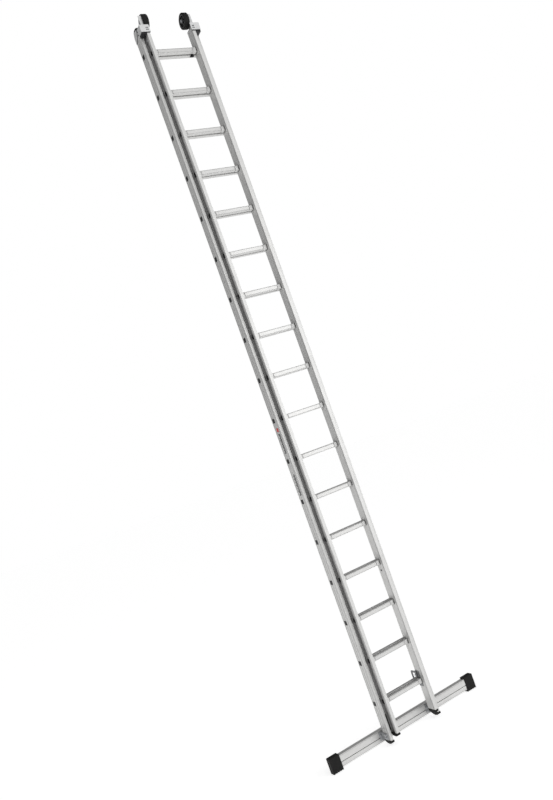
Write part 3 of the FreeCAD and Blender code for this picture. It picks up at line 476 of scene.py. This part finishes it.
# black mouldings: rubber feet and tyres, plastic caps and liners, wheel hubs
rubberLook = {
    "roughness": 0.62, "dustRough": 0.18, "shine": 0.2, "colour": (0.007, 0.007, 0.007, 1),
    "grainScale": 650, "grainDepth": 0.00012, "relief": 0.5,
    "dustScale": 22, "dust": 0.2, "dustColour": (0.05, 0.048, 0.045, 1),
    "edgeRadius": 0.0016, "edgeBreakup": 25.0, "wearAndHighlight": 0.35, "wearAndHighlightColour": (0.07, 0.07, 0.07, 1),
}
plasticLook = {
    **rubberLook, "roughness": 0.42, "shine": 0.3, "colour": (0.008, 0.008, 0.009, 1),
    "grainScale": 900, "grainDepth": 0.00006,
    "dustScale": 35, "dust": 0.15, "dustColour": (0.05, 0.05, 0.05, 1),
    "edgeRadius": 0.0010, "wearAndHighlight": 0.3, "wearAndHighlightColour": (0.08, 0.08, 0.08, 1),
}
# wheel hubs: the pale edge colour is a painted highlight on the spokes and rim
hubLook = {
    **rubberLook, "roughness": 0.25, "shine": 0.6, "colour": (0.015, 0.015, 0.016, 1),
    "grainScale": 700, "grainDepth": 0.00006,
    "dustScale": 40, "dust": 0.3, "dustColour": (0.07, 0.07, 0.07, 1),
    "wearAndHighlight": 0.85, "wearAndHighlightColour": (0.42, 0.42, 0.42, 1),
}

finishes = {
    "stile": millAluminium("stileMill", millLook),
    "rung": millAluminium("rungMill", rungLook),
    "beam": millAluminium("beamMill", beamLook),
    "plate": millAluminium("pressedPlate", plateLook),
    "zinc": platedSteel("zincFastener", zincLook),
    "galvanised": platedSteel("galvanisedPlate", galvanisedLook),
    "latchSteel": platedSteel("latchSteel", latchLook),
    "darkSteel": platedSteel("darkSteel", darkSteelLook),
    "rubber": blackMoulding("footRubber", rubberLook),
    "plastic": blackMoulding("blackPlastic", plasticLook),
    "hub": blackMoulding("hubPlastic", hubLook),
}
print("finishes ready:", ", ".join(finishes))


# which finish each part wears, by the start of its name
finishByPart = (
    ("base_stile", "stile"), ("fly_stile", "stile"), ("fly_rung", "rung"), ("base_rungs", "rung"),
    ("stabiliser_beam", "beam"), ("stabiliser_bracket", "galvanised"), ("guide_bracket", "plate"),
    ("wheel_bracket_bolts", "zinc"), ("wheel_bracket", "plate"), ("cap_cover_plates", "plate"),
    ("guide_rivets", "darkSteel"), ("stabiliser_bolts", "zinc"), ("wheel_axle", "zinc"),
    ("wheel_nuts", "zinc"), ("latch_pins", "zinc"), ("stop_rivets", "darkSteel"),
    ("latch_mount", "latchSteel"), ("latch_hook", "latchSteel"), ("latch_springs", "darkSteel"),
    ("stabiliser_foot", "rubber"), ("base_foot", "rubber"), ("fly_foot", "rubber"),
    ("wheel_tyre", "rubber"), ("wheel_hub", "hub"), ("base_cap", "plastic"), ("guide_liner", "plastic"),
    ("fly_end_plugs", "plastic"), ("glide_shoes", "plastic"), ("rung_clips", "plastic"),
)


def dressParts():
    for name, part in nodes.items():
        finish = next(finish for start, finish in finishByPart if name.startswith(start))
        part.data.materials.clear()
        part.data.materials.append(finishes[finish])


dressParts()
print("parts dressed")


# new pieces that the frame leaves plain
def newPiece(name, mesh, body, finish, smooth=True):
    if smooth:
        for face in mesh.polygons:
            face.use_smooth = True
    piece = bpy.data.objects.new(name, mesh)
    bpy.context.scene.collection.objects.link(piece)
    mesh.materials.append(finishes[finish])
    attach(piece, body)
    return piece


def squareRing(work, across, centre, half, corner, steps=5):
    # a rounded square of vertices on the YZ plane
    ring = []
    for turn in range(4):
        for step in range(steps):
            angle = (turn + step / (steps - 1)) * math.pi / 2
            middleY = (half - corner) * (1 if turn in (0, 3) else -1)
            middleZ = (half - corner) * (1 if turn in (0, 1) else -1)
            ring.append(work.verts.new((across, centre[0] + middleY + corner * math.cos(angle),
                                        centre[1] + middleZ + corner * math.sin(angle))))
    return ring


def sweptSquare(work, sections, centre, capped):
    # sections are (x, half width, corner); rings are joined one to the next
    rings = [squareRing(work, across, centre, half, corner) for across, half, corner in sections]
    pairs = list(zip(rings, rings[1:])) + ([] if capped else [(rings[-1], rings[0])])
    for first, second in pairs:
        for step in range(len(first)):
            after = (step + 1) % len(first)
            work.faces.new((first[step], first[after], second[after], second[step]))
    if capped:
        work.faces.new(rings[0])
        work.faces.new(rings[-1])


def rungMiddles(prefix):
    # middle height of every rung, from the frame
    if prefix == "fly":
        names = sorted(name for name in nodes if name.startswith("fly_rung_"))
        return [(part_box(name)[0][2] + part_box(name)[1][2]) / 2 for name in names]
    low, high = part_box("base_rungs")
    half = (high[1] - low[1]) / 2
    first, last = low[2] + half, high[2] - half
    count = sum(name.startswith("fly_rung_") for name in nodes)
    return [first + (last - first) * step / (count - 1) for step in range(count)]


collarLook = {"length": 0.026, "flare": 0.0032, "curve": 2.2, "rings": 6,
              "fit": 0.0002, "corner": 0.004, "clear": 0.0002}


def rungCollars(section, node, stile, look):
    # the flared swage of each rung where it meets the inner face of a stile
    low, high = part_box(node)
    back, half = (low[1] + high[1]) / 2, (high[1] - low[1]) / 2
    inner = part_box(stile)[0][0]
    mesh = bpy.data.meshes.new(f"{section}_rung_collars")
    work = bmesh.new()
    for up in rungMiddles(section):
        for hand in (-1, 1):
            sections = []
            for step in range(look["rings"]):
                part = step / (look["rings"] - 1)
                wide = half + look["fit"] + look["flare"] * part ** look["curve"]
                across = hand * (inner - look["clear"] - look["length"] * (1 - part))
                sections.append((across, wide, look["corner"]))
            wide = half + look["fit"] / 2
            sections += [(sections[-1][0], wide, look["corner"]), (sections[0][0], wide, look["corner"])]
            sweptSquare(work, sections, (back, up), False)
    bmesh.ops.recalc_face_normals(work, faces=work.faces)
    work.to_mesh(mesh)
    work.free()
    newPiece(f"{section}_rung_collars", mesh, f"{section}_section", "rung")


rungEndShadeLook = {"inset": 0.0035, "neck": 0.0035, "corner": 0.002, "lip": 0.0001, "lipCorner": 0.004,
            "stand": 0.0010, "dome": 0.0006, "domeSide": 0.001, "domeCorner": 0.003}


def rungEndShade(section, node, reach, look):
    # black plug-shaped pieces in the rung ends, just proud of the wall: painted shade standing for the
    # dark inside of the open tube ends
    low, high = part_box(node)
    back, half = (low[1] + high[1]) / 2, (high[1] - low[1]) / 2
    mesh = bpy.data.meshes.new(f"{section}_rung_end_shade")
    work = bmesh.new()
    for up in rungMiddles(section):
        for hand in (-1, 1):
            neck = half - look["neck"]
            top = reach + look["stand"]
            sections = [(hand * (reach - look["inset"]), neck, look["corner"]),
                        (hand * reach, neck, look["corner"]),
                        (hand * (reach + look["lip"]), half, look["lipCorner"]),
                        (hand * (top - look["dome"]), half, look["lipCorner"]),
                        (hand * top, half - look["domeSide"], look["domeCorner"])]
            sweptSquare(work, sections, (back, up), True)
    bmesh.ops.recalc_face_normals(work, faces=work.faces)
    work.to_mesh(mesh)
    work.free()
    newPiece(f"{section}_rung_end_shade", mesh, f"{section}_section", "plastic", smooth=False)


flyClear = 0.0034    # the fly's collars stop short of the raised lip on its stiles
rungCollars("fly", "fly_rung_03", "fly_stile_right", {**collarLook, "clear": flyClear})
rungCollars("base", "base_rungs", "base_stile_right", collarLook)
rungEndShade("fly", "fly_rung_03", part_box("fly_rung_03")[1][0], rungEndShadeLook)
rungEndShade("base", "base_rungs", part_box("base_rungs")[1][0], rungEndShadeLook)
print("rung collars and plugs made")


springLook = {"turns": 4.0, "wire": 0.0011, "ring": 0.0066, "steps": 28, "arm": 0.016,
              "hookGap": 0.0003, "outerInset": 0.0055, "roundness": 3}


def latchSprings(look):
    # coiled wire round each latch pin, in place of the plain sleeves
    low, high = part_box("latch_springs")
    pinY, pinZ = (low[1] + high[1]) / 2, (low[2] + high[2]) / 2
    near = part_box("latch_hook_right")[0][0] - look["hookGap"]
    far = high[0]
    for hand, side in ((-1, "left"), (1, "right")):
        wire = bpy.data.curves.new(f"latch_spring_{side}", "CURVE")
        wire.dimensions = "3D"
        wire.bevel_depth = look["wire"] / 2
        wire.bevel_resolution = look["roundness"]
        wire.use_fill_caps = True
        points = []
        count = int(look["turns"] * look["steps"])
        start = far - look["outerInset"] + look["wire"] / 2
        end = near - look["wire"] / 2
        for step in range(count + 1):
            angle = 2 * math.pi * step / look["steps"]
            across = start + (end - start) * step / count
            back = pinY + look["ring"] * math.cos(angle)
            up = pinZ + look["ring"] * math.sin(angle)
            points.append((hand * across, back, up))
        points.append((hand * end, pinY + look["ring"], pinZ + look["arm"]))
        spline = wire.splines.new("POLY")
        spline.points.add(len(points) - 1)
        for point, spot in zip(spline.points, points):
            point.co = (*spot, 1)
        piece = bpy.data.objects.new(f"latch_spring_{side}", wire)
        bpy.context.scene.collection.objects.link(piece)
        wire.materials.append(finishes["zinc"])
        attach(piece, "fly_section")
        if side == "left":
            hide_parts("latch_springs")


latchSprings(springLook)


labelLook = {
    "back": 0.084, "wide": 0.026, "thick": 0.0004, "out": 0.0003, "softEdge": 0.3,
    "red": (2.170, 2.195), "redColour": (0.55, 0.03, 0.03, 1),
    "bars": ((2.022, 2.165), (1.732, 1.881)), "barStep": 0.0085, "barTall": 0.0062,
    "barShort": 0.12, "barPattern": (3, 5), "inkColour": (0.02, 0.02, 0.022, 1),
    "roughness": 0.5, "grainScale": 700, "grainDepth": 0.00003, "relief": 0.4,
    "dustScale": 60, "dust": 0.15, "dustColour": (0.5, 0.5, 0.5, 1),
}


def labelInk(name, colour, look):
    paint = Paint(name, 0.0, look["roughness"])
    mould = paint.effect(mouldGroup, Grain_Scale=look["grainScale"], Dust_Scale=look["dustScale"])
    tone = paint.mix(paint.times(mould["Dust"], look["dust"]), colour, look["dustColour"])
    paint.join(tone, "Base Color")
    paint.bump(mould["Grain"], look["grainDepth"], look["relief"])
    return paint.material


def printedBlock(name, spans, across, backs, colour, look):
    # thin raised blocks with soft corners, standing for a worn printed mark
    mesh = bpy.data.meshes.new(name)
    work = bmesh.new()
    for (low, high), (near, far) in zip(spans, backs):
        made = bmesh.ops.create_cube(work, size=1.0)["verts"]
        for vert in made:
            vert.co = (across + (vert.co.x * look["thick"]), near + (far - near) * (vert.co.y + 0.5),
                       low + (high - low) * (vert.co.z + 0.5))
    softEdge = look["thick"] * look["softEdge"]
    bmesh.ops.bevel(work, geom=work.edges[:], offset=softEdge, segments=1, affect="EDGES")
    work.to_mesh(mesh)
    work.free()
    piece = bpy.data.objects.new(name, mesh)
    bpy.context.scene.collection.objects.link(piece)
    mesh.materials.append(labelInk(name + "Ink", colour, look))
    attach(piece, "base_section")


def plainLabel(look):
    # a generic mark on the left outer face: one red block over rows of plain bars
    low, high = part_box("base_stile_left")
    across = low[0] - look["thick"] / 2 - look["out"]
    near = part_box("fly_stile_left")[0][1] + look["back"] - look["wide"] / 2
    far = near + look["wide"]
    printedBlock("label_red", [look["red"]], across, [(near, far)], look["redColour"], look)
    spans, backs = [], []
    stride, lengths = look["barPattern"]    # bars end at one of a few lengths in turn
    for number, (bottom, top) in enumerate(look["bars"]):
        for step in range(int((top - bottom) / look["barStep"])):
            start = bottom + step * look["barStep"]
            short = look["wide"] * look["barShort"] * ((step * stride + number) % lengths)
            spans.append((start, start + look["barTall"]))
            backs.append((near, far - short))
    printedBlock("label_bars", spans, across, backs, look["inkColour"], look)


plainLabel(labelLook)
print("latch springs and plain label made")


feetLook = {"weld": 0.00002, "stabiliserCorner": 0.003, "stileCorner": 0.001, "segments": 3,
            "sharp": math.radians(50)}


def softenFeet(look):
    # rounded corners on the moulded feet, without touching their CAD meshes
    for name, part in nodes.items():
        if name.startswith(("stabiliser_foot", "base_foot", "fly_foot")):
            weld = part.modifiers.new("joinCorners", "WELD")
            weld.merge_threshold = look["weld"]
            bevel = part.modifiers.new("mouldedCorners", "BEVEL")
            bevel.width = look["stabiliserCorner" if name.startswith("stabiliser") else "stileCorner"]
            bevel.segments = look["segments"]
            bevel.limit_method = "ANGLE"
            bevel.angle_limit = look["sharp"]


softenFeet(feetLook)
print("feet softened")
